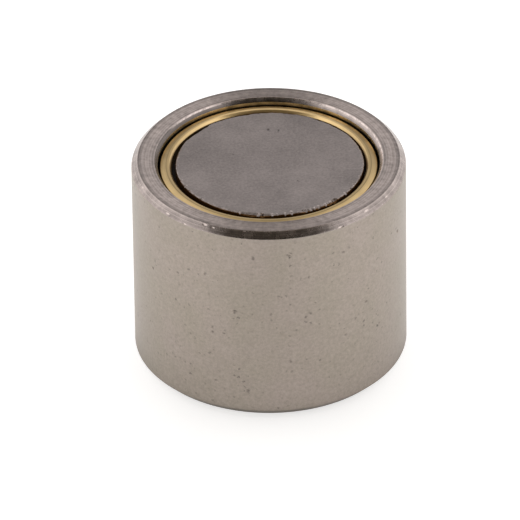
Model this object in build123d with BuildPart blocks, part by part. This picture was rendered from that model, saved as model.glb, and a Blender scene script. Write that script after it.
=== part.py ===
"""Deep pot magnet: a turned steel cup holding a brass-lined magnet rod.

The cup stands on its back, with the magnet face up. The origin is the centre of the
back face and +Z runs along the turning axis, out of the magnet face. Millimetres.
"""
import os
from math import cos, radians, sin, sqrt, tan

from build123d import *

# ---- steel pot --------------------------------------------------------------
pot_diameter = 20.0
pot_height = 16.0
pot_wall = 1.9           # steel beside the bore
rim_chamfer = 0.45       # outer edge of the magnet face
mouth_chamfer = 0.22     # edge between the rim and the bore, across the rim
mouth_chamfer_depth = 0.3  # and down the bore
mouth_edge_break = 0.06  # rounding where that chamfer meets the rim
back_chamfer = 0.6       # outer edge of the back
bore_corner_radius = 0.3 # left by the boring tool at the foot of the bore

# ---- M6 hole in the back ----------------------------------------------------
tap_drill_diameter = 5.0
thread_diameter = 6.0
tap_mouth_clearance = 0.2  # countersink beyond the thread, on the radius
tap_drill_depth = 5.5      # full-diameter depth from the back
drill_point_angle = 118.0
web_thickness = 1.0        # steel between the drill point and the bore

# ---- brass sleeve -----------------------------------------------------------
sleeve_wall = 0.98
sleeve_clearance = 0.02    # radial fit in the bore
sleeve_recess = 0.43       # top land below the rim
sleeve_shoulder_width = 0.34  # land that the gentle shoulder takes
sleeve_shoulder_drop = 0.13   # flank that it takes
sleeve_groove_width = 0.24    # steep flank that forms a groove beside the steel
sleeve_groove_depth = 0.6     # foot of that flank below the land
sleeve_bore_chamfer = 0.17
sleeve_foot_clearance = 0.1   # foot chamfer beyond the bore's corner radius

# ---- magnet core and its glue -----------------------------------------------
core_gap = 0.25            # mean radial gap to the sleeve
core_offset = 0.08         # the core sits this far off the axis, towards +X
core_recess = 0.38         # core face below the rim
glue_film = 0.1            # glue under the core
glue_setback = 0.9         # collar of glue ends this far below the core face

# Flakes broken off the core's upper edge: degrees round from +X, length along the edge.
edge_chips = (
    (-26, 0.45), (-37, 0.45), (-47, 0.75), (-58, 0.45), (-67, 0.7), (-76, 0.9), (-85, 0.7),
    (-94, 0.8), (-102, 0.6), (-110, 0.7), (-120, 0.5), (-135, 0.45), (-155, 0.55), (-179, 0.45),
    (172, 0.5), (95, 0.5), (40, 0.45),
)
chip_depth_ratio = 0.22    # depth of a flake for its length

# ---- derived places ---------------------------------------------------------
pot_radius = pot_diameter / 2
bore_radius = pot_radius - pot_wall
tap_drill_radius = tap_drill_diameter / 2
drill_point_height = tap_drill_radius / tan(radians(drill_point_angle / 2))
bore_floor = tap_drill_depth + drill_point_height + web_thickness

sleeve_radius = bore_radius - sleeve_clearance
sleeve_bore_radius = sleeve_radius - sleeve_wall
sleeve_length = pot_height - sleeve_recess - bore_floor

core_radius = sleeve_bore_radius - core_gap
core_foot = bore_floor + glue_film
core_face = pot_height - core_recess


def ring_edge(part, face_place, edge_place):
    """A circular edge of the part's lowest (0) or highest (-1) face: inner 0, outer -1."""
    face = part.faces().filter_by(Axis.Z).sort_by(Axis.Z)[face_place]
    return face.edges().sort_by(SortBy.RADIUS)[edge_place]


with BuildPart() as steel_pot:
    with BuildSketch(Plane.XY):
        Circle(pot_radius)
    extrude(amount=pot_height)
    with BuildSketch(Plane.XY.offset(bore_floor)):
        Circle(bore_radius)
    extrude(amount=pot_height - bore_floor, mode=Mode.SUBTRACT)
    bore_corner = steel_pot.edges().filter_by(GeomType.CIRCLE).filter_by_position(
        Axis.Z, bore_floor, bore_floor
    )
    fillet(bore_corner, radius=bore_corner_radius)

    chamfer(ring_edge(steel_pot, -1, -1), length=rim_chamfer)
    chamfer(
        ring_edge(steel_pot, -1, 0),
        length=mouth_chamfer,
        length2=mouth_chamfer_depth,
        reference=steel_pot.faces().sort_by(Axis.Z)[-1],
    )
    fillet(ring_edge(steel_pot, -1, 0), radius=mouth_edge_break)
    chamfer(ring_edge(steel_pot, 0, -1), length=back_chamfer)

    with Locations(Location((0, 0, 0), (180, 0, 0))):
        CounterSinkHole(
            radius=tap_drill_radius,
            counter_sink_radius=thread_diameter / 2 + tap_mouth_clearance,
            depth=tap_drill_depth,
            counter_sink_angle=90,
        )
    with Locations((0, 0, tap_drill_depth)):
        Cone(
            bottom_radius=tap_drill_radius,
            top_radius=0,
            height=drill_point_height,
            align=(Align.CENTER, Align.CENTER, Align.MIN),
            mode=Mode.SUBTRACT,
        )

with BuildPart() as brass_sleeve:
    with BuildSketch(Plane.XY.offset(bore_floor)):
        Circle(sleeve_radius)
        Circle(sleeve_bore_radius, mode=Mode.SUBTRACT)
    extrude(amount=sleeve_length)
    chamfer(
        ring_edge(brass_sleeve, -1, -1),
        length=sleeve_groove_width,
        length2=sleeve_groove_depth,
        reference=brass_sleeve.faces().sort_by(Axis.Z)[-1],
    )
    chamfer(
        ring_edge(brass_sleeve, -1, -1),
        length=sleeve_shoulder_width,
        length2=sleeve_shoulder_drop,
        reference=brass_sleeve.faces().sort_by(Axis.Z)[-1],
    )
    chamfer(ring_edge(brass_sleeve, -1, 0), length=sleeve_bore_chamfer)
    chamfer(ring_edge(brass_sleeve, 0, -1), length=bore_corner_radius + sleeve_foot_clearance)

with BuildPart() as magnet_core:
    with BuildSketch(Plane.XY.offset(core_foot)):
        with Locations((core_offset, 0)):
            Circle(core_radius)
    extrude(amount=core_face - core_foot)

    # Each flake is a shallow spherical scoop, square to the edge that it breaks.
    for angle, chip_length in edge_chips:
        chip_depth = chip_length * chip_depth_ratio
        scoop_radius = (chip_length**2 / 4 + chip_depth**2) / (2 * chip_depth)
        lift = (scoop_radius - chip_depth) / sqrt(2)
        reach = core_radius + lift
        scoop_centre = (
            core_offset + reach * cos(radians(angle)),
            reach * sin(radians(angle)),
            core_face + lift,
        )
        with Locations(scoop_centre):
            Sphere(scoop_radius, mode=Mode.SUBTRACT)

with BuildPart() as adhesive_bond:
    with BuildSketch(Plane.XY.offset(bore_floor)):
        Circle(sleeve_bore_radius)
    extrude(amount=core_face - glue_setback - bore_floor)
    with BuildSketch(Plane.XY.offset(core_foot)):
        with Locations((core_offset, 0)):
            Circle(core_radius)
    extrude(amount=core_face - glue_setback - core_foot, mode=Mode.SUBTRACT)

# ---- one STEP file per piece ------------------------------------------------
os.makedirs("parts", exist_ok=True)

steel_pot.part.label = "steel_pot"
brass_sleeve.part.label = "brass_sleeve"
magnet_core.part.label = "magnet_core"
adhesive_bond.part.label = "adhesive_bond"

export_step(steel_pot.part, "parts/steel_pot.step")
export_step(brass_sleeve.part, "parts/brass_sleeve.step")
export_step(magnet_core.part, "parts/magnet_core.step")
export_step(adhesive_bond.part, "parts/adhesive_bond.step")
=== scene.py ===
"""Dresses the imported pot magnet: plated steel pot, brass sleeve, chipped core and its glue.

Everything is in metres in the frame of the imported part: the magnet stands on z = 0 on its
back, its axis is +Z, and the camera looks along +Y and down onto the magnet face.
"""
from math import atan2, cos, degrees, hypot, radians, sin, tan, tau
from random import Random

import bmesh
import bpy
from bpy.props import FloatProperty, FloatVectorProperty, IntProperty, PointerProperty
from mathutils import Matrix, Vector, noise


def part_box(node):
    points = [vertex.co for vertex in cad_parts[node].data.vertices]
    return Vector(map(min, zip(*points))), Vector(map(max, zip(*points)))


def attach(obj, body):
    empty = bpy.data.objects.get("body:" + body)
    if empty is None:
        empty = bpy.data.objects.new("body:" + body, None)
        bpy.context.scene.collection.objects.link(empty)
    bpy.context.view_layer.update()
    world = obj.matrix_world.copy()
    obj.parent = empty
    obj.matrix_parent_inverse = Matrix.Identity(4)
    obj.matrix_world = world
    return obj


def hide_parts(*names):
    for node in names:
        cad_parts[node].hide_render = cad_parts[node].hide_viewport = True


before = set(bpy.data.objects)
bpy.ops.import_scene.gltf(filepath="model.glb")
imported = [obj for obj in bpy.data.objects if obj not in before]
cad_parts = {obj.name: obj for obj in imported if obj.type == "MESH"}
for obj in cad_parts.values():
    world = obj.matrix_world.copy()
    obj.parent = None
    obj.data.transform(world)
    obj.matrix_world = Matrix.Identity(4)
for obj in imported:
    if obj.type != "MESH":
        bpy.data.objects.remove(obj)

bl_info = {
    "name": "Pot Magnet Dresser",
    "version": (1, 0, 0),
    "blender": (4, 5, 0),
    "location": "View3D > Sidebar > Pot Magnet",
    "description": "Builds the finished pieces of a deep pot magnet around its packed solids",
    "category": "Add Mesh",
}

MM = 0.001
BODY = "root"
MERGE = 1e-7                    # points closer than this are one, m
ON_RING = MERGE * 10            # points closer than this to a ring lie on it, m
ROUND = 288                     # facets round a turned piece
CORE_ROUND = 960                # and round the core, whose edge is chipped
SHARP = radians(30)             # an edge that turns by more than this stays sharp


# ---- sizes and colours -------------------------------------------------------

def linear(code):
    """An sRGB hex code as linear red, green and blue."""
    parts = (int(code[i:i + 2], 16) / 255 for i in (1, 3, 5))
    return tuple(c / 12.92 if c <= 0.04045 else ((c + 0.055) / 1.055) ** 2.4 for c in parts)


def length(label, description, mm):
    """A length property whose default is given in millimetres."""
    return FloatProperty(
        name=label, description=description, default=mm * MM, min=0.0, precision=5,
        unit="LENGTH", subtype="DISTANCE",
    )


def arc(label, description, turn):
    """An angle property whose default is given in degrees."""
    return FloatProperty(
        name=label, description=description, default=radians(turn), subtype="ANGLE",
    )


def colour(label, description, code):
    """A colour property whose default is an sRGB hex code."""
    return FloatVectorProperty(
        name=label, description=description, default=linear(code), size=3, min=0.0, max=1.0,
        subtype="COLOR",
    )


class PotSizes(bpy.types.PropertyGroup):
    wall: length("Wall", "Steel beside the bore", 1.9)
    rim_chamfer: length("Rim chamfer", "Outer edge of the magnet face", 0.45)
    mouth_chamfer: length("Mouth chamfer", "Edge of the bore, measured across the rim", 0.22)
    mouth_depth: length("Mouth depth", "Foot of that edge down the bore", 0.3)
    back_chamfer: length("Back chamfer", "Outer edge of the back", 0.6)
    rim_break: length("Rim break", "Rounding of the rim's two edges", 0.05)
    edge_break: length("Edge break", "Rounding that plating and handling leave", 0.05)
    floor: length("Bore floor", "Height of the bore's floor above the back", 8.0)
    minor_radius: length("Thread minor radius", "Crests of the M6 thread", 2.5)
    major_radius: length("Thread major radius", "Roots of the M6 thread", 3.0)
    pitch: length("Thread pitch", "Rise of the thread in one turn", 1.0)
    mouth_radius: length("Thread mouth radius", "Countersink where it meets the back", 3.2)
    thread_depth: length("Thread depth", "Full threads end here", 4.5)
    drill_depth: length("Drill depth", "Full-diameter depth of the tapping hole", 5.5)
    drill_tip: length("Drill tip depth", "Depth of the drill's point", 7.0)
    plating: colour("Plating", "Satin nickel plating", "#978D85")
    # the bored steel's tan tint is a painted reflection of the brass beside it
    bored: colour("Bored steel", "Wall of the bore above the sleeve", "#E0CDA6")
    ground: colour("Ground steel", "Bare ground rim", "#A39792")


class SleeveSizes(bpy.types.PropertyGroup):
    shoulder_width: length("Shoulder width", "Gentle slope outside the top land", 0.388)
    shoulder_drop: length("Shoulder drop", "Fall of that slope", 0.121)
    groove_depth: length("Groove depth", "Foot of the steep flank beside the steel", 0.6)
    groove_width: length("Groove width", "Width of that flank", 0.192)
    bore_chamfer: length("Bore chamfer", "Inner top edge", 0.17)
    foot_chamfer: length("Foot chamfer", "Outer edge at the bore's floor", 0.4)
    wall: length("Wall", "Thickness of the sleeve", 0.98)
    edge_break: length("Edge break", "Rounding of each edge", 0.03)
    brass: colour("Brass", "Turned brass", "#B39A6F")


class CoreSizes(bpy.types.PropertyGroup):
    edge_break: length("Edge break", "Wear all round the core's edge", 0.06)
    offset: length("Offset", "The core sits this far off the axis, towards +X", 0.08)
    chip_seed: IntProperty(name="Chip seed", description="Draw of the small edge chips", default=7)
    small_chips: IntProperty(
        name="Small chips", description="Number of small edge chips", default=120,
    )
    alloy: colour("Magnet alloy", "Bare ground magnet alloy", "#8A817E")


class GlueSizes(bpy.types.PropertyGroup):
    glue: colour("Glue", "Cured dark epoxy", "#20140C")


class StageSettings(bpy.types.PropertyGroup):
    elevation: arc("Elevation", "Height of the camera above the horizon", 33.76)
    roll: arc("Roll", "Turn of the camera about its own line of sight", 0.76)
    distance: length("Distance", "Camera to the middle of the magnet", 621.0)
    lens: FloatProperty(
        name="Lens", description="Focal length on a 36 mm sensor", default=587.0, unit="CAMERA",
    )
    aim_left: length("Aim left", "The camera aims this far left of the magnet's middle", 0.717)
    aim_down: length("Aim down", "The camera aims this far below the magnet's middle", 0.722)
    card_height: arc("Card height", "Elevation of the dark card's middle", 57)
    card_reach: arc("Card reach", "Half of the angle that the dark card fills sideways", 38)
    card_rise: arc("Card rise", "Half of the angle that the dark card fills upwards", 46)
    back_light: FloatProperty(
        name="Back light", description="Brightness of the middle of the studio",
        default=0.78, min=0.0,
    )
    side_light: FloatProperty(
        name="Side light", description="Brightness of the left and right of the studio",
        default=1.5, min=0.0,
    )
    floor_colour: colour("Floor", "Pale studio floor", "#CFCDCB")


# ---- mesh tools --------------------------------------------------------------

def turned(outline, segments, closed=False):
    """A bmesh turned about Z from an outline of (radius, height) points."""
    bm = bmesh.new()
    points = [bm.verts.new((r, 0, z)) for r, z in outline]
    pairs = list(zip(points, points[1:]))
    if closed:
        pairs.append((points[-1], points[0]))
    edges = [bm.edges.new(pair) for pair in pairs]
    bmesh.ops.spin(
        bm, geom=points + edges, cent=(0, 0, 0), axis=(0, 0, 1), angle=tau, steps=segments,
        use_merge=True, use_duplicate=False,
    )
    bmesh.ops.remove_doubles(bm, verts=bm.verts, dist=MERGE)
    return bm


def reach(vert):
    """How far a vertex is from the axis."""
    return hypot(vert.co.x, vert.co.y)


def break_edges(bm, places, width, segments=3):
    """Rounds the circular edges at the given (radius, height) places."""
    def on_ring(vert, radius, height):
        return abs(reach(vert) - radius) < ON_RING and abs(vert.co.z - height) < ON_RING
    edges = [
        e for e in bm.edges for radius, height in places
        if on_ring(e.verts[0], radius, height) and on_ring(e.verts[1], radius, height)
    ]
    bmesh.ops.bevel(
        bm, geom=edges, offset=width, offset_type="OFFSET", affect="EDGES", segments=segments,
        profile=0.5, material=-1, clamp_overlap=True,
    )


def stepped(start, end, step):
    """Evenly spaced values from start to end, both included."""
    count = max(1, round(abs(end - start) / step))
    return [start + (end - start) * i / count for i in range(count + 1)]


def dent(bm, place, inward, across, depth, layer, cuts=5, drawn_out=1.0):
    """Presses a small pit, drawn out round the axis, into a finely divided patch of the surface.

    The layer holds 1 at its middle and 0 at its edge.
    """
    around = Vector((-place.y, place.x, 0)).normalized()
    patch_radius = across * (0.6 + drawn_out / 2)
    patch = [f for f in bm.faces if (f.calc_center_median() - place).length < patch_radius]
    edges = {e for f in patch for e in f.edges}
    made = bmesh.ops.subdivide_edges(bm, edges=list(edges), cuts=cuts, use_grid_fill=True)
    verts = {v for f in patch if f.is_valid for v in f.verts}
    verts |= {v for v in made["geom_inner"] if isinstance(v, bmesh.types.BMVert)}
    for vert in verts:
        off = vert.co - place
        off -= around * off.dot(around) * (1 - 1 / drawn_out)
        away = off.length / (across / 2)
        if away < 1:
            fall = (1 - away * away) ** 2
            vert.co += inward * depth * fall
            vert[layer] = fall ** 0.5


def facing(angle):
    """The level direction that many degrees round from the front towards +X, and its tangent."""
    turn = radians(angle)
    return Vector((sin(turn), -cos(turn), 0)), Vector((cos(turn), sin(turn), 0))


def finished(bm, name, materials, node):
    """Makes the bmesh the piece of that name, which stands for a CAD node."""
    bmesh.ops.recalc_face_normals(bm, faces=bm.faces)
    mesh = bpy.data.meshes.new(name)
    bm.to_mesh(mesh)
    bm.free()
    for material in materials:
        mesh.materials.append(material)
    mesh.shade_smooth()
    mesh.set_sharp_from_angle(angle=SHARP)
    piece = bpy.data.objects.new(name, mesh)
    bpy.context.scene.collection.objects.link(piece)
    normals = piece.modifiers.new("Flats stay flat", "WEIGHTED_NORMAL")
    normals.weight = 50
    normals.keep_sharp = True
    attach(piece, BODY)
    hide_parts(node)
    return piece


# ---- material tools ----------------------------------------------------------

# Settings of a Mix node: it mixes numbers, mixes colours, or multiplies A by B.
NUMBERS = {"data_type": "FLOAT"}
COLOURS = {"data_type": "RGBA"}
TIMES = {"data_type": "RGBA", "blend_type": "MULTIPLY"}


def between(places):
    """Where a Map Range node starts and ends."""
    return {"From Min": places[0], "From Max": places[1]}


def connect(tree, node, inputs):
    """Sets or links the inputs of a node, by name or number."""
    for key, value in inputs.items():
        socket = node.inputs[key] if isinstance(key, int) else next(
            s for s in node.inputs if s.enabled and s.name == key)
        if isinstance(value, bpy.types.Node):
            value = next(s for s in value.outputs if s.enabled)
        if isinstance(value, bpy.types.NodeSocket):
            tree.links.new(value, socket)
        else:
            socket.default_value = value


def add(tree, kind, inputs=None, **settings):
    """Adds a shader node with its settings, and connects its inputs."""
    made = tree.nodes.new("ShaderNode" + kind)
    for name, value in settings.items():
        setattr(made, name, value)
    connect(tree, made, inputs or {})
    return made


def surface(name, constants):
    """A new material: itself, its tree, its shader and its Object coordinates in millimetres."""
    material = bpy.data.materials.new(name)
    material.use_nodes = True
    tree = material.node_tree
    shader = tree.nodes["Principled BSDF"]
    connect(tree, shader, constants)
    coords = add(tree, "TexCoord")
    mm = add(tree, "Mapping", {"Vector": coords.outputs["Object"], "Scale": (1 / MM,) * 3})
    return material, tree, shader, mm


def shade(value, factor=1.0):
    """A colour made lighter or darker, with alpha."""
    return tuple(c * factor for c in value) + (1.0,)


def specks(tree, mm, cell, share, radius):
    """Round specks: of the cells that wide in mm, that share holds one, up to that radius."""
    cells = add(tree, "TexVoronoi", {"Vector": mm, "Scale": 1 / cell})
    draw = add(tree, "SeparateColor", {"Color": cells.outputs["Color"]})
    size = add(tree, "MapRange", {
        "Value": draw, "From Min": 1 - share, "From Max": 1.0, "To Max": radius / cell,
    })
    inside = add(tree, "Math", {0: size, 1: cells.outputs["Distance"]}, operation="SUBTRACT")
    return add(tree, "MapRange", {"Value": inside, "From Max": radius / cell / 2})


def along(tree, mm, axis, places, levels):
    """A factor that goes from one level to another between two places along an axis."""
    return add(tree, "MapRange", {
        "Value": add(tree, "SeparateXYZ", {"Vector": mm}).outputs[axis],
        **between(places), "To Min": levels[0], "To Max": levels[1],
    })


def rings(tree, mm, per_mm):
    """The distance from the axis, and a noise along it: that many turning lines to a millimetre."""
    flat = add(tree, "VectorMath", {0: mm, 1: (1, 1, 0)}, operation="MULTIPLY")
    radius = add(tree, "VectorMath", {0: flat}, operation="LENGTH").outputs["Value"]
    lines = add(tree, "TexNoise", {
        "W": radius, "Scale": per_mm, "Detail": 2.0,
    }, noise_dimensions="1D")
    return radius, lines


def uneven(tree, base, blotches, lines, share, spread, levels):
    """The base colour between two levels, by two patterns of which the second has that share."""
    both = add(tree, "Mix", {"Factor": share, "A": blotches, "B": lines}, **NUMBERS)
    tone = add(tree, "MapRange", {
        "Value": both, "From Min": 0.5 - spread, "From Max": 0.5 + spread,
        "To Min": levels[0], "To Max": levels[1],
    })
    return add(tree, "Mix", {"Factor": 1.0, "A": base, "B": tone}, **TIMES)


def dull_ring(tree, radius, middle, half_width, level):
    """A factor of 1, but for a dull ring round the axis that fades out at that half width."""
    off = add(tree, "Math", {0: radius, 1: middle}, operation="SUBTRACT")
    off = add(tree, "Math", {0: off}, operation="ABSOLUTE")
    return add(tree, "MapRange", {
        "Value": off, "From Min": 0.02, "From Max": half_width, "To Min": level, "To Max": 1.0,
    })


def along_turning(tree, shader, lines):
    """Spreads the gloss across the turning lines, and raises them."""
    connect(tree, shader, {
        "Tangent": add(tree, "Tangent", direction_type="RADIAL", axis="Z"),
        "Normal": add(tree, "Bump", {"Height": lines, "Strength": 0.15, "Distance": 0.01 * MM}),
    })


# ---- materials ---------------------------------------------------------------

# Where the finishes change, in mm from the axis, or along the axis that a name ends in. Each
# pair is where a change starts and where it is complete.
MOUTH = 8.6                     # turned steel nearer the axis is the mouth's chamfer
MOUTH_SHADE = (8.4, 8.6)               # painted brownish shade on the mouth thins out here
MOUTH_SHADE_X = (-4.5, -2.0)           # and here
HIGHLIGHT_CHAMFER = (8.23, 8.27)   # a painted highlight on the mouth's upper edge, from its chamfer
HIGHLIGHT_RIM = (8.38, 8.33)       # and from the rim
BORE_SHADE_Z = (15.4, 15.5)          # the bore's wall is darker below and plain above: painted shade deep in the groove
DARK_RIM_EDGE = (9.2, 9.38)              # the rim darkens towards its outer edge: a painted dark halo beside the bright chamfer
DARK_RIM_EDGE_Y = (-9.1, -8.2)           # but not at the very front
RIM_RING = 8.46                 # a dull ring round the mouth
BRASS_RING = 7.47               # a tool mark in the brass
BRASS_GROOVE_SHADE = (7.88, 7.96)       # painted shade on the flank, in the groove beside the steel
BRASS_BACK_LIGHT_Y = (4.0, 6.8)            # painted light: the brass is brighter at the back

GLUE_STAIN = "#6A4B2A"          # glue smeared on the magnet's side


def satin_nickel(base):
    """Satin nickel plate over turned steel, tumbled: an even pale sheen with a faint mottle.

    Patches 3 mm wide drift between greenish and pinkish, and the mottle is 0.25 mm.
    """
    material, tree, shader, mm = surface("Satin nickel plate", {"Metallic": 1.0})
    patches = add(tree, "TexNoise", {"Vector": mm, "Scale": 0.3, "Detail": 2.0})
    greenish = shade((base[0] * 0.97, base[1] * 1.01, base[2] * 0.93), 0.94)
    pinkish = shade((base[0] * 1.02, base[1], base[2] * 1.03), 1.07)
    tint = add(tree, "Mix", {"Factor": patches, "A": greenish, "B": pinkish}, **COLOURS)
    mottle = add(tree, "TexNoise", {"Vector": mm, "Scale": 4.2, "Detail": 5.0, "Roughness": 0.8})
    grain = add(tree, "MapRange", {
        "Value": mottle, "From Min": 0.3, "From Max": 0.7, "To Min": 0.86, "To Max": 1.24,
    })
    toned = add(tree, "Mix", {"Factor": 1.0, "A": tint, "B": grain}, **TIMES)
    dark = add(tree, "Math", {0: plate_pits(tree, mm, mottle), 1: 0.65}, operation="MULTIPLY")
    connect(tree, shader, {
        "Base Color": add(tree, "Mix", {
            "Factor": dark, "A": toned, "B": shade(base, 0.2),
        }, **COLOURS),
        "Roughness": add(tree, "MapRange", {"Value": mottle, "To Min": 0.36, "To Max": 0.5}),
        "Normal": add(tree, "Bump", {"Height": mottle, "Strength": 0.12, "Distance": 0.02 * MM}),
    })
    return material


def plate_pits(tree, mm, mottle):
    """How dark the plate is pitted: ragged specks in swarms 2 mm wide, and the modelled pits.

    The specks are up to 0.3 mm across, coarser than real ones, so that they show.
    """
    wobble = add(tree, "TexNoise", {"Vector": mm, "Scale": 4.0, "Detail": 3.0, "Roughness": 0.7})
    ragged = add(tree, "VectorMath", {
        0: wobble.outputs["Color"], 1: (0.5, 0.5, 0.5), 2: mm,
    }, operation="MULTIPLY_ADD")
    coarse = specks(tree, ragged, cell=0.8, share=0.5, radius=0.15)
    fine = specks(tree, ragged, cell=0.35, share=0.5, radius=0.14)
    faint = add(tree, "Math", {0: fine, 1: 0.75}, operation="MULTIPLY")
    both = add(tree, "Math", {0: coarse, 1: faint}, operation="MAXIMUM")
    swarm = add(tree, "TexNoise", {"Vector": mm, "Scale": 0.45, "Detail": 2.0})
    swarm = add(tree, "MapRange", {
        "Value": swarm, "From Min": 0.42, "From Max": 0.58, "To Min": 0.3, "To Max": 1.1,
    })
    both = add(tree, "Math", {0: both, 1: swarm}, operation="MULTIPLY")
    pitted = add(tree, "Attribute", attribute_name="pitted")
    ragged_pit = add(tree, "MapRange", {
        "Value": mottle, "From Min": 0.38, "From Max": 0.58, "To Min": 0.9, "To Max": 0.3,
    })
    pits = add(tree, "Math", {0: pitted.outputs["Fac"], 1: ragged_pit}, operation="MULTIPLY")
    return add(tree, "Math", {0: both, 1: pits}, operation="MAXIMUM")


def turned_steel(base):
    """Bare steel chamfers left by a sharp tool: smoother than the rim, with lines round them.

    Nicks show fresh metal. A brownish painted shade darkens the mouth's left, and a painted highlight
    flecks its upper edge towards the back and right.
    The lines are 0.17 mm apart, coarser than real ones, so that they show.
    """
    material, tree, shader, mm = surface("Turned steel", {"Metallic": 1.0})
    radius, lines = rings(tree, mm, 6.0)
    wear = add(tree, "TexNoise", {"Vector": mm, "Scale": 1.3, "Detail": 4.0, "Roughness": 0.6})
    toned = uneven(tree, shade(base, 0.95), wear, lines, 0.55, 0.18, (0.34, 1.3))
    # painted shade: the mouth's left is darkened towards a dark brown
    inside = add(tree, "MapRange", {"Value": radius, **between(MOUTH_SHADE), "To Min": 1.0, "To Max": 0.0})
    left = along(tree, mm, "X", MOUTH_SHADE_X, (0.8, 0.0))
    left_shade = add(tree, "Math", {0: inside, 1: left}, operation="MULTIPLY")
    painted_tone = add(tree, "Mix", {"Factor": left_shade, "A": toned, "B": shade(base, 0.22)}, **COLOURS)
    mouth = add(tree, "Math", {0: radius, 1: MOUTH}, operation="LESS_THAN")
    edge = add(tree, "Math", {0: radius, 1: mouth}, operation="MULTIPLY")
    # painted highlight on the mouth's upper edge, brightest towards the back and right
    painted_tone = painted_highlight(tree, mm, edge, HIGHLIGHT_CHAMFER, painted_tone, base)
    scuffed = add(tree, "Attribute", attribute_name="scuffed").outputs["Fac"]
    connect(tree, shader, {
        "Base Color": add(tree, "Mix", {
            "Factor": scuffed, "A": painted_tone, "B": shade(base, 1.6),
        }, **COLOURS),
        "Roughness": add(tree, "MapRange", {"Value": wear, "To Min": 0.16, "To Max": 0.36}),
        "Normal": add(tree, "Bump", {"Height": lines, "Strength": 0.2, "Distance": 0.01 * MM}),
    })
    return material


def painted_highlight(tree, mm, radius, edge, toned, base):
    """Paints a highlight in flecks on the mouth's edge, between two radii, along the back and right.
    """
    side = add(tree, "VectorMath", {
        0: mm, 1: (0.55, 1.0, 0.0),
    }, operation="DOT_PRODUCT").outputs["Value"]
    side = add(tree, "MapRange", {"Value": side, "From Max": 2.5})
    near = add(tree, "MapRange", {"Value": radius, **between(edge)})
    both = add(tree, "Math", {0: side, 1: near}, operation="MULTIPLY")
    flecks = add(tree, "TexNoise", {"Vector": mm, "Scale": 2.6, "Detail": 4.0, "Roughness": 0.7})
    flecks = add(tree, "MapRange", {
        "Value": flecks, "From Min": 0.38, "From Max": 0.58, "To Min": 0.35, "To Max": 1.0,
    })
    both = add(tree, "Math", {0: both, 1: flecks}, operation="MULTIPLY")
    return add(tree, "Mix", {"Factor": both, "A": toned, "B": shade(base, 1.85)}, **COLOURS)


def bored_steel(base):
    """Wall of the bore: steel left rough by the boring tool and stained brown by glue, tinted tan by
    a painted reflection of the brass, and darker below by painted shade.
    """
    material, tree, shader, mm = surface("Bored steel", {"Metallic": 1.0, "Roughness": 0.42})
    smear = add(tree, "TexNoise", {"Vector": mm, "Scale": 1.1, "Detail": 4.0, "Roughness": 0.6})
    stain = add(tree, "MapRange", {"Value": smear, "From Min": 0.4, "From Max": 0.62})
    # the tan base is a painted reflection of the brass; the darker brown patches are glue stain
    toned = add(tree, "Mix", {
        "Factor": stain, "A": shade(base), "B": shade(base, 0.55),
    }, **COLOURS)
    # painted shade: the wall darkens to a tenth towards the bottom of the groove
    depth_shade = along(tree, mm, "Z", BORE_SHADE_Z, (0.1, 1.0))
    connect(tree, shader, {
        "Base Color": add(tree, "Mix", {"Factor": 1.0, "A": toned, "B": depth_shade}, **TIMES),
    })
    return material


def ground_steel(base):
    """Steel faced on a lathe: fine concentric lines, which spread its gloss across them.

    The lines are 0.14 mm apart, coarser than real ones, so that they show.
    """
    material, tree, shader, mm = surface("Ground steel", {
        "Metallic": 1.0, "Roughness": 0.46, "Anisotropic": 0.85, "Anisotropic Rotation": 0.25,
    })
    radius, lines = rings(tree, mm, 7.0)
    mottle = add(tree, "TexNoise", {"Vector": mm, "Scale": 2.2, "Detail": 6.0, "Roughness": 0.72})
    toned = uneven(tree, shade(base), mottle, lines, 0.4, 0.16, (0.6, 1.4))
    # painted shade: a dark band along the rim's outer edge, beside the bright chamfer, left out at
    # the front
    worn = add(tree, "MapRange", {
        "Value": radius, **between(DARK_RIM_EDGE), "To Min": 1.02, "To Max": 0.7,
    }, interpolation_type="SMOOTHSTEP")
    front = along(tree, mm, "Y", DARK_RIM_EDGE_Y, (1.0, 0.0))
    worn = add(tree, "Mix", {"Factor": front, "A": worn, "B": 1.1}, **NUMBERS)
    dull = dull_ring(tree, radius, RIM_RING, 0.1, 0.72)
    level = add(tree, "Math", {0: worn, 1: dull}, operation="MULTIPLY")
    toned = add(tree, "Mix", {"Factor": 1.0, "A": toned, "B": level}, **TIMES)
    # painted highlight on the rim's inner edge, brightest towards the back and right
    connect(tree, shader, {"Base Color": painted_highlight(tree, mm, radius, HIGHLIGHT_RIM, toned, base)})
    along_turning(tree, shader, lines)
    return material


def turned_brass(base):
    """Lathe-turned brass, dulled by handling: fine rings, a brown bloom, painted shade down its outer
    flank and painted light towards the back.

    The rings are 0.13 mm apart, coarser than real ones, so that they show.
    """
    material, tree, shader, mm = surface("Turned brass", {
        "Metallic": 1.0, "Roughness": 0.3, "Anisotropic": 0.5, "Anisotropic Rotation": 0.25,
    })
    radius, lines = rings(tree, mm, 8.0)
    bloom = add(tree, "TexNoise", {"Vector": mm, "Scale": 0.9, "Detail": 4.0})
    toned = uneven(tree, shade(base), bloom, lines, 0.45, 0.2, (0.85, 1.12))
    level = dull_ring(tree, radius, BRASS_RING, 0.06, 0.66)
    # painted shade: darker down the outer flank, in the groove beside the steel
    groove_shade = add(tree, "MapRange", {
        "Value": radius, **between(BRASS_GROOVE_SHADE), "To Min": 1.0, "To Max": 0.2,
    })
    level = add(tree, "Math", {0: level, 1: groove_shade}, operation="MULTIPLY")
    # painted light: the brass is made up to 1.7 times brighter towards the back
    back = along(tree, mm, "Y", BRASS_BACK_LIGHT_Y, (1.0, 1.7))
    level = add(tree, "Math", {0: level, 1: back}, operation="MULTIPLY")
    connect(tree, shader, {
        "Base Color": add(tree, "Mix", {"Factor": 1.0, "A": toned, "B": level}, **TIMES),
    })
    along_turning(tree, shader, lines)
    return material


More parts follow.
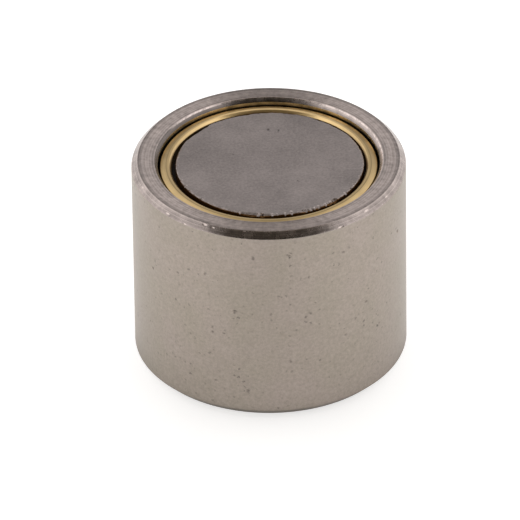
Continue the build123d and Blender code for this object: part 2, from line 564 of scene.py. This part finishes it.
def magnet_alloy(base):
    """Bare magnet alloy, ground on its face: dull purplish grey, with bright grains in chips."""
    material, tree, shader, mm = surface("Bare magnet alloy", {"Roughness": 0.5})
    cloud = add(tree, "TexNoise", {"Vector": mm, "Scale": 0.35, "Detail": 2.0})
    grain = add(tree, "TexNoise", {"Vector": mm, "Scale": 5.0, "Detail": 4.0, "Roughness": 0.75})
    toned = uneven(tree, shade(base), cloud, grain, 0.6, 0.16, (0.72, 1.28))
    chipped = add(tree, "Attribute", attribute_name="chipped").outputs["Fac"]
    # bright fresh grains in the chips; their fading with depth below the face is painted shade
    glint = add(tree, "MapRange", {
        "Value": grain, "From Min": 0.4, "From Max": 0.56, "To Min": 0.3, "To Max": 1.0,
    })
    glint = add(tree, "Math", {0: chipped, 1: glint}, operation="MULTIPLY")
    toned = add(tree, "Mix", {"Factor": glint, "A": toned, "B": shade(base, 2.4)}, **COLOURS)
    for layer, stain in (("pitted", shade(base, 0.25)), ("glued", shade(linear(GLUE_STAIN)))):
        there = add(tree, "Attribute", attribute_name=layer).outputs["Fac"]
        toned = add(tree, "Mix", {"Factor": there, "A": toned, "B": stain}, **COLOURS)
    dull = add(tree, "Math", {0: chipped, 1: 0.85}, operation="MULTIPLY")
    connect(tree, shader, {
        "Base Color": toned,
        "Metallic": add(tree, "Math", {0: 1.0, 1: dull}, operation="SUBTRACT"),
        "Normal": add(tree, "Bump", {"Height": grain, "Strength": 0.25, "Distance": 0.03 * MM}),
    })
    return material


def cured_epoxy(base):
    """Dark cured epoxy: a smooth resin, brown where light gets into it."""
    material, tree, shader, mm = surface("Cured epoxy", {
        "Roughness": 0.6, "Specular IOR Level": 0.15,
    })
    cloud = add(tree, "TexNoise", {"Vector": mm, "Scale": 2.0, "Detail": 3.0})
    connect(tree, shader, {
        "Base Color": add(tree, "Mix", {
            "Factor": cloud, "A": shade(base, 0.6), "B": shade(base, 1.6),
        }, **COLOURS),
    })
    return material


# ---- marks and wear ----------------------------------------------------------

# Angles are degrees round from the front towards +X, and lengths are millimetres.

# Pits in the pot's wall: angle, height, width and depth.
WALL_PITS = (
    (-15, 9.1, 0.42, 0.09), (-25, 7.0, 0.26, 0.05), (-25, 7.4, 0.24, 0.05), (8, 14.0, 0.32, 0.07),
    (-7, 13.9, 0.32, 0.05), (-58, 10.1, 0.3, 0.05), (44, 8.2, 0.32, 0.07), (68, 12.0, 0.36, 0.08),
    (52, 5.6, 0.3, 0.05), (-10, 2.3, 0.34, 0.06), (8, 4.9, 0.3, 0.05), (-28, 11.9, 0.32, 0.05),
    (33, 6.1, 0.3, 0.05), (32, 13.4, 0.28, 0.05), (0, 9.1, 0.28, 0.05), (0, 8.6, 0.26, 0.05),
    (-42, 11.1, 0.28, 0.04), (38, 7.2, 0.26, 0.05), (16, 12.0, 0.26, 0.04), (-24, 2.8, 0.28, 0.04),
)

# Nicks in the rim's chamfer: angle, how far down the chamfer (0 its upper edge, 1 its lower),
# width and depth. Each is drawn out round the axis, to so many times its width.
CHAMFER_NICKS = (
    (-29, 0.2, 0.16, 0.03), (-25, 0.3, 0.12, 0.02), (-11, 0.1, 0.12, 0.02), (46, 0.4, 0.18, 0.03),
    (31, 0.9, 0.18, 0.04), (-48, 0.7, 0.16, 0.03), (-38, 0.9, 0.14, 0.03), (60, 0.5, 0.12, 0.02),
    (-70, 0.4, 0.12, 0.02), (130, 0.4, 0.14, 0.02), (-140, 0.5, 0.14, 0.02),
)
NICK_DRAWN_OUT = 3.0

# Large chips on the core's edge: angle, length along the edge, width across the face and depth.
EDGE_CHIPS = (
    (64, 0.22, 0.22, 0.12), (59, 0.18, 0.2, 0.12), (53, 0.22, 0.24, 0.14), (43, 0.5, 0.3, 0.3),
    (36, 0.2, 0.16, 0.1), (31, 0.22, 0.26, 0.14), (26, 0.18, 0.2, 0.12), (22, 0.26, 0.3, 0.16),
    (13, 0.24, 0.42, 0.14), (9, 0.2, 0.24, 0.12), (4, 0.18, 0.2, 0.12), (1, 0.24, 0.28, 0.14),
    (-5, 0.3, 0.3, 0.24), (-8, 0.2, 0.24, 0.12), (-13, 0.16, 0.26, 0.12), (-19, 0.2, 0.24, 0.12),
    (-26, 0.16, 0.18, 0.1), (-38, 0.18, 0.16, 0.1), (-47, 0.16, 0.16, 0.1), (-59, 0.22, 0.18, 0.12),
    (-65, 0.22, 0.26, 0.12), (-72, 0.22, 0.2, 0.12), (-89, 0.22, 0.24, 0.12), (-98, 0.28, 0.22, 0.12),
    (84, 0.22, 0.18, 0.12), (101, 0.26, 0.16, 0.12), (-130, 0.3, 0.14, 0.14), (150, 0.4, 0.16, 0.16),
    (-165, 0.26, 0.14, 0.12), (74, 0.2, 0.16, 0.1),
)

# Where the core's edge is worn back: angle, half the span as an angle, and how far back.
EDGE_WEAR = (
    (-12, 9, 0.17), (-3, 6, 0.1), (22, 5, 0.12), (30, 7, 0.1), (41, 7, 0.15), (-30, 10, 0.05),
    (-100, 12, 0.06), (-130, 12, 0.13), (-160, 16, 0.08), (175, 25, 0.08), (140, 16, 0.12),
    (110, 20, 0.06),
)

# Crumbs that lean out over the gap: angle, length along the edge and reach.
EDGE_FLAKES = (
    (31, 0.2, 0.13), (28, 0.14, 0.15), (25.5, 0.18, 0.14), (22.5, 0.16, 0.1), (36, 0.16, 0.08),
    (53, 0.16, 0.1), (-7.5, 0.26, 0.04), (13, 0.14, 0.02), (9, 0.12, 0.02), (1, 0.12, 0.0),
    (-19, 0.1, 0.02), (-65, 0.12, 0.05),
)

# Pits in the core's ground face: x and y from the pot's axis, width and depth.
FACE_PITS = (
    (0.0, 4.5, 0.3, 0.06), (0.76, 4.4, 0.2, 0.04), (-2.6, 1.2, 0.16, 0.03), (2.1, -2.4, 0.16, 0.03),
)


# ---- pieces ------------------------------------------------------------------

# Places of the pot's finishes in its list of materials.
PLATED, TURNED, GROUND, BORED = range(4)


class POTMAGNET_OT_pot(bpy.types.Operator):
    """Turn the steel pot, cut the thread in its back and pit its plated wall"""
    bl_idname = "pot_magnet.pot"
    bl_label = "Steel Pot"

    wall_step = 0.22 * MM       # height of the wall's facets, into which the pits are pressed
    slope_step = 0.11 * MM      # and of the rim chamfer's
    hair = 0.02 * MM            # how far a face may lie from the surface that it belongs to

    def execute(self, context):
        sizes = context.scene.pot_sizes
        low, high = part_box("steel_pot")
        radius, top = high.x, high.z
        bore = radius - sizes.wall
        rim_out, rim_in = radius - sizes.rim_chamfer, bore + sizes.mouth_chamfer
        heights = stepped(top - sizes.rim_chamfer, sizes.back_chamfer, self.wall_step)
        falls = stepped(0, sizes.rim_chamfer, self.slope_step)[1:-1]
        outline = [
            (0, sizes.floor), (bore, sizes.floor), (bore, top - sizes.mouth_depth), (rim_in, top),
            (rim_out, top), *((rim_out + fall, top - fall) for fall in falls),
            *((radius, z) for z in heights), (radius - sizes.back_chamfer, low.z),
            (sizes.mouth_radius * 1.5, low.z),
        ]
        bm = turned(outline, ROUND)
        pitted = bm.verts.layers.float.new("pitted")
        scuffed = bm.verts.layers.float.new("scuffed")
        break_edges(bm, [(rim_in, top), (rim_out, top)], sizes.rim_break, 5)
        break_edges(bm, [
            (radius, top - sizes.rim_chamfer), (radius, sizes.back_chamfer),
            (radius - sizes.back_chamfer, low.z),
        ], sizes.edge_break)
        for face in bm.faces:
            middle = face.calc_center_median()
            away = hypot(middle.x, middle.y)
            in_bore = away < bore + self.hair / 2
            if in_bore and sizes.floor - self.hair < middle.z < top - sizes.mouth_depth:
                face.material_index = BORED
            elif middle.z > top - self.hair and rim_in < away < rim_out:
                face.material_index = GROUND
            elif middle.z > top - sizes.rim_chamfer and not in_bore:
                face.material_index = TURNED
            else:
                face.material_index = PLATED
        for angle, height, across, depth in WALL_PITS:
            outward, _ = facing(angle)
            place = outward * radius + Vector((0, 0, height * MM))
            dent(bm, place, -outward, across * MM, depth * MM, pitted)
        for angle, down, across, depth in CHAMFER_NICKS:
            outward, _ = facing(angle)
            fall = sizes.rim_chamfer * down
            place = outward * (rim_out + fall) + Vector((0, 0, top - fall))
            inward = (-outward - Vector((0, 0, 1))).normalized()
            dent(bm, place, inward, across * MM, depth * MM, scuffed, drawn_out=NICK_DRAWN_OUT)
        self.cut_thread(bm, sizes)
        finishes = [
            satin_nickel(sizes.plating), turned_steel(sizes.ground), ground_steel(sizes.ground),
            bored_steel(sizes.bored),
        ]
        finished(bm, "turned_pot", finishes, "steel_pot")
        return {"FINISHED"}

    def cut_thread(self, bm, sizes):
        """Adds the threaded wall, which runs out into the drilled hole, and the drill's point."""
        pitch, minor, major = sizes.pitch, sizes.minor_radius, sizes.major_radius
        steps, start = ROUND // 3, -1.5 * pitch
        # One groove as radius and share of the pitch: crest, flank, root and the other flank.
        groove = [(minor, 0), (minor, 0.25), (major, 0.56), (major, 0.69), (minor, 1)]
        thread = bmesh.new()
        points = [thread.verts.new((r, 0, start + share * pitch)) for r, share in groove]
        edges = [thread.edges.new(pair) for pair in zip(points, points[1:])]
        bmesh.ops.subdivide_edges(thread, edges=edges, cuts=2)
        bmesh.ops.spin(
            thread, geom=thread.verts[:] + thread.edges[:], cent=(0, 0, 0), axis=(0, 0, 1),
            angle=tau, steps=steps, dvec=(0, 0, pitch / steps), use_merge=False,
            use_duplicate=False,
        )
        one_turn = thread.verts[:] + thread.edges[:] + thread.faces[:]
        for turn in range(1, int((sizes.drill_depth - start) / pitch) + 2):
            copied = bmesh.ops.duplicate(thread, geom=one_turn)["geom"]
            bmesh.ops.translate(
                thread, verts=[v for v in copied if isinstance(v, bmesh.types.BMVert)],
                vec=(0, 0, turn * pitch),
            )
        bmesh.ops.remove_doubles(thread, verts=thread.verts, dist=MERGE)
        for vert in thread.verts:
            radius, depth = reach(vert), vert.co.z
            run_out = major - (depth - sizes.thread_depth)
            wanted = max(min(radius, max(minor, run_out)), sizes.mouth_radius - depth)
            vert.co.x *= wanted / radius
            vert.co.y *= wanted / radius
        for height, side in ((0, -1), (sizes.drill_depth, 1)):
            bmesh.ops.bisect_plane(
                thread, geom=thread.verts[:] + thread.edges[:] + thread.faces[:], dist=MERGE,
                plane_co=(0, 0, height), plane_no=(0, 0, side), clear_outer=True,
            )
        end = [e for e in thread.edges if e.is_boundary and e.verts[0].co.z > sizes.thread_depth]
        tip = bmesh.ops.holes_fill(thread, edges=end, sides=0)["faces"]
        for vert in bmesh.ops.poke(thread, faces=tip)["verts"]:
            vert.co = (0, 0, sizes.drill_tip)
        mesh = bpy.data.meshes.new("thread")
        thread.to_mesh(mesh)
        thread.free()
        bm.from_mesh(mesh)
        bpy.data.meshes.remove(mesh)
        mouth = [e for e in bm.edges if e.is_boundary]
        bmesh.ops.bridge_loops(bm, edges=mouth)


class POTMAGNET_OT_sleeve(bpy.types.Operator):
    """Turn the brass sleeve"""
    bl_idname = "pot_magnet.sleeve"
    bl_label = "Brass Sleeve"

    def execute(self, context):
        sizes = context.scene.sleeve_sizes
        low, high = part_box("brass_sleeve")
        outer, inner = high.x, high.x - sizes.wall
        outline = [
            (inner, low.z), (outer - sizes.foot_chamfer, low.z),
            (outer, low.z + sizes.foot_chamfer), (outer, high.z - sizes.groove_depth),
            (outer - sizes.groove_width, high.z - sizes.shoulder_drop),
            (outer - sizes.groove_width - sizes.shoulder_width, high.z),
            (inner + sizes.bore_chamfer, high.z), (inner, high.z - sizes.bore_chamfer),
        ]
        bm = turned(outline, ROUND, closed=True)
        break_edges(bm, outline[3:], sizes.edge_break)
        finished(bm, "turned_sleeve", [turned_brass(sizes.brass)], "brass_sleeve")
        return {"FINISHED"}


class POTMAGNET_OT_core(bpy.types.Operator):
    """Make the magnet core with its chipped edge"""
    bl_idname = "pot_magnet.core"
    bl_label = "Magnet Core"

    edge_zone = 0.45 * MM       # the corner that is divided finely enough to chip
    edge_step = 0.04 * MM       # size of its facets
    face_step = 0.4 * MM        # and of those across the rest of the face
    lit_depth = 0.14 * MM       # fresh breaks are bright down to here, and fade below it as painted shade
    clean_depth = 0.03 * MM     # below this the side is stained by glue
    flake_depth = 0.2 * MM      # height of a crumb that leans over the gap
    bite_share = 0.55           # how much of its width and depth a chip takes at its middle
    wear_grain = 0.16 * MM      # grain of the worn bevel
    chip_grain = 0.08 * MM      # of a chip's surface
    flake_grain = 0.07 * MM     # and of a crumb's

    def execute(self, context):
        sizes = context.scene.core_sizes
        low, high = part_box("magnet_core")
        radius, top = (high.x - low.x) / 2, high.z
        corner = radius - self.edge_zone
        outline = [
            (0, low.z), (radius, low.z),
            *((radius, z) for z in stepped(top - self.edge_zone, top, self.edge_step)),
            *((r, top) for r in stepped(radius, corner, self.edge_step)[1:]),
            *((r, top) for r in stepped(corner, 0, self.face_step)[1:]),
        ]
        bm = turned(outline, CORE_ROUND)
        chipped = bm.verts.layers.float.new("chipped")
        glued = bm.verts.layers.float.new("glued")
        pitted = bm.verts.layers.float.new("pitted")
        for vert in bm.verts:
            if reach(vert) > radius / 2:
                below = top - vert.co.z - self.clean_depth
                vert[glued] = min(1.0, max(0.0, below / self.clean_depth))
        # The corner's vertices by whole degrees round from the front.
        rim = {}
        for vert in bm.verts:
            if reach(vert) > corner and vert.co.z > top - self.edge_zone * 1.01:
                rim.setdefault(round(degrees(atan2(vert.co.x, -vert.co.y))), []).append(vert)
        for angle, verts in rim.items():
            self.wear(verts, radius, top, angle, sizes.edge_break, chipped)
        for angle, along, across, deep in [*EDGE_CHIPS, *self.draw_chips(sizes)]:
            spread = int(degrees(along * MM / radius)) + 1
            near = [v for step in range(-spread, spread + 1)
                    for v in rim.get((round(angle) + step + 180) % 360 - 180, [])]
            size = (along * MM, across * MM, deep * MM)
            self.chip(near, radius, top, angle, size, chipped, glued)
        for angle, along, out in EDGE_FLAKES:
            self.flake(bm.verts, radius, top, angle, along * MM, out * MM, chipped, glued)
        for x, y, across, deep in FACE_PITS:
            place = Vector((x * MM - sizes.offset, y * MM, top))
            dent(bm, place, Vector((0, 0, -1)), across * MM, deep * MM, pitted, cuts=3)
        bmesh.ops.translate(bm, verts=bm.verts, vec=(sizes.offset, 0, 0))
        finished(bm, "chipped_core", [magnet_alloy(sizes.alloy)], "magnet_core")
        return {"FINISHED"}

    def draw_chips(self, sizes):
        """Small chips anywhere round the edge, in the terms of EDGE_CHIPS."""
        draw = Random(sizes.chip_seed)
        for _ in range(sizes.small_chips):
            size = draw.uniform(0.04, 0.10)
            angle = draw.uniform(-180, 180)
            along = size * draw.uniform(1.2, 2.4)
            yield angle, along, size, size * draw.uniform(0.8, 1.3)

    def wear(self, verts, radius, top, angle, least, layer):
        """Wears the corner back to a ragged bevel, most where EDGE_WEAR says."""
        for vert in verts:
            place = vert.co / self.wear_grain
            back = least * (1 + 0.8 * noise.noise(place))
            for middle, span, width in EDGE_WEAR:
                off = abs((angle - middle + 180) % 360 - 180) / span
                if off < 1:
                    back += width * MM * (1 - off * off) * (1 + 0.5 * noise.noise(place * 0.5))
            over = back - (radius - reach(vert)) - (top - vert.co.z)
            if over > 0:
                outward = Vector((vert.co.x, vert.co.y, 0)).normalized()
                vert.co -= (outward + Vector((0, 0, 1))) * over / 2
                vert[layer] = max(0.0, 0.25 + 0.5 * noise.noise(place * 1.7))

    def chip(self, near, radius, top, angle, size, layer, glued):
        """Breaks a flake off the corner: a hollow that is deepest at the edge."""
        along, across, deep = size
        outward, tangent = facing(angle)
        for vert in near:
            side = vert.co.dot(tangent) / (along / 2)
            if abs(side) >= 1:
                continue
            into = (radius - reach(vert)) / across
            below = (top - vert.co.z) / deep
            bite = 1 - side * side - max(into, below)
            if bite <= 0:
                continue
            ragged = 1 + 0.35 * noise.noise(vert.co / self.chip_grain)
            vert.co -= outward * across * bite * self.bite_share * ragged
            vert.co.z -= deep * bite * self.bite_share * ragged
            # fresh metal is bright at the face and fades with depth: painted shade deeper in the chip
            lit = max(0.0, 1 - (top - vert.co.z) / self.lit_depth) * min(1.0, bite * 4)
            vert[layer] = max(vert[layer], lit)
            vert[glued] *= 1 - lit

    def flake(self, verts, radius, top, angle, along, out, layer, glued):
        """Leans a lifted crumb of the edge out over the gap."""
        outward, tangent = facing(angle)
        for vert in verts:
            side = vert.co.dot(tangent) / (along / 2)
            below = (top - vert.co.z) / self.flake_depth
            if abs(side) < 1 and below < 1 and vert.co.dot(outward) > radius * 0.97:
                rise = (1 - side * side) * (1 - below)
                lean = rise * (1 + 0.3 * noise.noise(vert.co / self.flake_grain))
                vert.co += outward * out * lean
                # bright at the crumb's top and fading with depth: partly fresh metal, partly painted
                # shade
                vert[layer] = max(vert[layer], min(1.0, 1.8 * rise))
                vert[glued] = 0.0


class POTMAGNET_OT_bond(bpy.types.Operator):
    """Fill the gap under the core's edge with cured glue"""
    bl_idname = "pot_magnet.bond"
    bl_label = "Glue"

    def execute(self, context):
        core = context.scene.core_sizes
        low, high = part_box("adhesive_bond")
        core_low, core_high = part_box("magnet_core")
        outer = (high.x - low.x) / 2
        inner = (core_high.x - core_low.x) / 2
        outline = [
            (0, low.z), (outer, low.z), (outer, high.z), (inner, high.z), (inner, core_low.z),
            (0, core_low.z),
        ]
        bm = turned(outline, ROUND)
        for vert in bm.verts:
            if abs(reach(vert) - inner) < ON_RING:
                vert.co.x += core.offset
        epoxy = cured_epoxy(context.scene.glue_sizes.glue)
        finished(bm, "epoxy_bond", [epoxy], "adhesive_bond")
        return {"FINISHED"}


class POTMAGNET_OT_stage(bpy.types.Operator):
    """Lay the floor, light the studio and set the camera"""
    bl_idname = "pot_magnet.stage"
    bl_label = "Stage"

    floor_drop = 0.02 * MM      # the floor lies this far below the back
    floor_sides = (4.0, 24.0)   # painted light brightens it to the left and right, between these mm
    ring = (9.0, 11.4)          # its painted shadow ring, seen in the metal, fades outwards, between these mm from the axis
    beneath = (8.2, 9.2)        # and the painted lighter patch inside the ring ends between these
    dark_middle = (0.13, 0.34)  # the studio brightens sideways, between these X of a direction
    narrow_top = (0.45, 0.75)   # its middle is twice as wide below these Z as it is above
    card_away = 1500 * MM       # distance of the dark card
    card_fade = (950, 1650)     # it turns from black to grey between these heights, mm
    card_black = "#38342B"
    card_grey = "#8E887C"

    def execute(self, context):
        settings = context.scene.stage_settings
        self.lay_floor(settings)
        self.light_studio(context.scene, settings)
        self.set_camera(context.scene, settings)
        context.scene.view_settings.view_transform = "Standard"
        return {"FINISHED"}

    def lay_floor(self, settings):
        """A pale floor that keeps the shadow, and is as white in the metal as to the camera.

        The metal also sees a painted shadow ring where the magnet stands, a painted lighter patch
        beneath it, and painted light that brightens the floor to the left and right. The floor lies a
        hair below the back and has no underside, so the back can be seen from below.
        """
        material, tree, shader, mm = surface("Pale studio floor", {
            "Roughness": 0.9, "Specular IOR Level": 0.0,
            "Base Color": shade(settings.floor_colour), "Emission Color": (1.0, 1.0, 1.0, 1.0),
        })
        path = add(tree, "LightPath")
        mirrored = add(tree, "Math", {
            0: path.outputs["Is Glossy Ray"], 1: path.outputs["Is Transmission Ray"],
        }, operation="ADD")
        aside = add(tree, "SeparateXYZ", {"Vector": mm}).outputs["X"]
        aside = add(tree, "Math", {0: aside}, operation="ABSOLUTE")
        # painted light: the floor glows brighter to the left and right
        level = add(tree, "MapRange", {
            "Value": aside, **between(self.floor_sides), "To Min": 0.62, "To Max": 0.85,
        }, interpolation_type="SMOOTHSTEP")
        under = add(tree, "VectorMath", {0: mm}, operation="LENGTH").outputs["Value"]
        # painted shadow ring round the magnet, and a painted lighter patch beneath it, seen only in
        # the metal
        beside = add(tree, "MapRange", {
            "Value": under, **between(self.ring), "To Min": 0.1, "To Max": 1.0,
        })
        beneath = add(tree, "MapRange", {
            "Value": under, **between(self.beneath), "To Min": 0.8, "To Max": 0.0,
        })
        under = add(tree, "Math", {0: beside, 1: beneath}, operation="MAXIMUM")
        mirrored = add(tree, "Math", {0: mirrored, 1: under}, operation="MULTIPLY")
        seen = add(tree, "Math", {0: path.outputs["Is Camera Ray"], 1: mirrored}, operation="ADD")
        connect(tree, shader, {
            "Emission Strength": add(tree, "Math", {0: seen, 1: level}, operation="MULTIPLY"),
        })
        one_sided = add(tree, "MixShader", {
            0: add(tree, "NewGeometry").outputs["Backfacing"],
            1: shader.outputs["BSDF"], 2: add(tree, "BsdfTransparent"),
        })
        connect(tree, tree.nodes["Material Output"], {"Surface": one_sided})
        bm = bmesh.new()
        bmesh.ops.create_grid(
            bm, x_segments=1, y_segments=1, size=3.0,
            matrix=Matrix.Translation((0, 0, -self.floor_drop)),
        )
        self.panel(bm, "studio_floor", material)

    def panel(self, bm, name, material):
        """Makes the bmesh a piece of the studio."""
        mesh = bpy.data.meshes.new(name)
        bm.to_mesh(mesh)
        bm.free()
        mesh.materials.append(material)
        made = bpy.data.objects.new(name, mesh)
        bpy.context.scene.collection.objects.link(made)

    def light_studio(self, scene, settings):
        """White all round, with a dark card in front, which draws the dark lines in the metal."""
        world = bpy.data.worlds.new("Studio")
        scene.world = world
        world.use_nodes = True
        tree = world.node_tree
        direction = add(tree, "TexCoord").outputs["Generated"]
        axes = add(tree, "SeparateXYZ", {"Vector": direction})
        sideways = add(tree, "Math", {0: axes.outputs["X"]}, operation="ABSOLUTE")
        above = add(tree, "MapRange", {
            "Value": axes.outputs["Z"], **between(self.narrow_top), "To Min": 0.5, "To Max": 1.0,
        })
        spread = add(tree, "Math", {0: sideways, 1: above}, operation="MULTIPLY")
        strength = add(tree, "MapRange", {
            "Value": spread, **between(self.dark_middle),
            "To Min": settings.back_light, "To Max": settings.side_light,
        }, interpolation_type="SMOOTHSTEP")
        connect(tree, tree.nodes["Background"], {"Color": (1, 1, 1, 1), "Strength": strength})
        self.hang_card(settings)

    def hang_card(self, settings):
        """A dark card high in front, blackest at its foot."""
        material, tree, shader, mm = surface("Black card", {
            "Roughness": 0.9, "Specular IOR Level": 0.0,
        })
        black, grey = shade(linear(self.card_black)), shade(linear(self.card_grey))
        height = along(tree, mm, "Z", self.card_fade, (0.0, 1.0))
        connect(tree, shader, {
            "Base Color": add(tree, "Mix", {"Factor": height, "A": black, "B": grey}, **COLOURS),
        })
        towards = Vector((0, -cos(settings.card_height), sin(settings.card_height)))
        turn = towards.to_track_quat("Z", "Y").to_matrix().to_4x4()
        taller = tan(settings.card_rise) / tan(settings.card_reach)
        bm = bmesh.new()
        bmesh.ops.create_circle(
            bm, cap_ends=True, segments=96, radius=self.card_away * tan(settings.card_reach),
            matrix=Matrix.Translation(towards * self.card_away) @ turn
            @ Matrix.Diagonal((1, taller, 1, 1)),
        )
        self.panel(bm, "front_card", material)

    def set_camera(self, scene, settings):
        """A long lens in front of the magnet, looking down onto its face."""
        low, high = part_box("steel_pot")
        middle = (low + high) / 2
        elevation = settings.elevation
        back = Vector((0, -cos(elevation), sin(elevation)))
        turn = Matrix.Rotation(-settings.roll, 3, back)
        right = turn @ Vector((1, 0, 0))
        up = turn @ Vector((0, sin(elevation), cos(elevation)))
        aim = middle - right * settings.aim_left - up * settings.aim_down
        camera = bpy.data.objects.new("studio_camera", bpy.data.cameras.new("studio_camera"))
        camera.data.lens = settings.lens
        camera.data.clip_end = 10.0     # m
        axes = Matrix((right, up, back)).transposed().to_4x4()
        camera.matrix_world = Matrix.Translation(aim + back * settings.distance) @ axes
        scene.collection.objects.link(camera)
        scene.camera = camera


class POTMAGNET_PT_panel(bpy.types.Panel):
    """Sizes, colours and buttons of the pot magnet"""
    bl_idname = "POTMAGNET_PT_panel"
    bl_label = "Pot Magnet"
    bl_space_type = "VIEW_3D"
    bl_region_type = "UI"
    bl_category = "Pot Magnet"

    def draw(self, context):
        for name, group, operator in PARTS:
            box = self.layout.box()
            box.operator(operator)
            settings = getattr(context.scene, name)
            for key in group.__annotations__:
                box.prop(settings, key)


# Property name, its group and the operator that reads it, in the order in which they run.
PARTS = (
    ("stage_settings", StageSettings, "pot_magnet.stage"),
    ("pot_sizes", PotSizes, "pot_magnet.pot"),
    ("sleeve_sizes", SleeveSizes, "pot_magnet.sleeve"),
    ("core_sizes", CoreSizes, "pot_magnet.core"),
    ("glue_sizes", GlueSizes, "pot_magnet.bond"),
)
CLASSES = (
    PotSizes, SleeveSizes, CoreSizes, GlueSizes, StageSettings,
    POTMAGNET_OT_stage, POTMAGNET_OT_pot, POTMAGNET_OT_sleeve, POTMAGNET_OT_core,
    POTMAGNET_OT_bond, POTMAGNET_PT_panel,
)


def register():
    for item in CLASSES:
        bpy.utils.register_class(item)
    for name, group, _ in PARTS:
        setattr(bpy.types.Scene, name, PointerProperty(type=group))


def unregister():
    for name, _, _ in PARTS:
        delattr(bpy.types.Scene, name)
    for item in reversed(CLASSES):
        bpy.utils.unregister_class(item)


def main():
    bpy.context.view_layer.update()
    register()
    bpy.ops.pot_magnet.stage()
    bpy.ops.pot_magnet.pot()
    bpy.ops.pot_magnet.sleeve()
    bpy.ops.pot_magnet.core()
    bpy.ops.pot_magnet.bond()


if __name__ == "__main__":
    main()
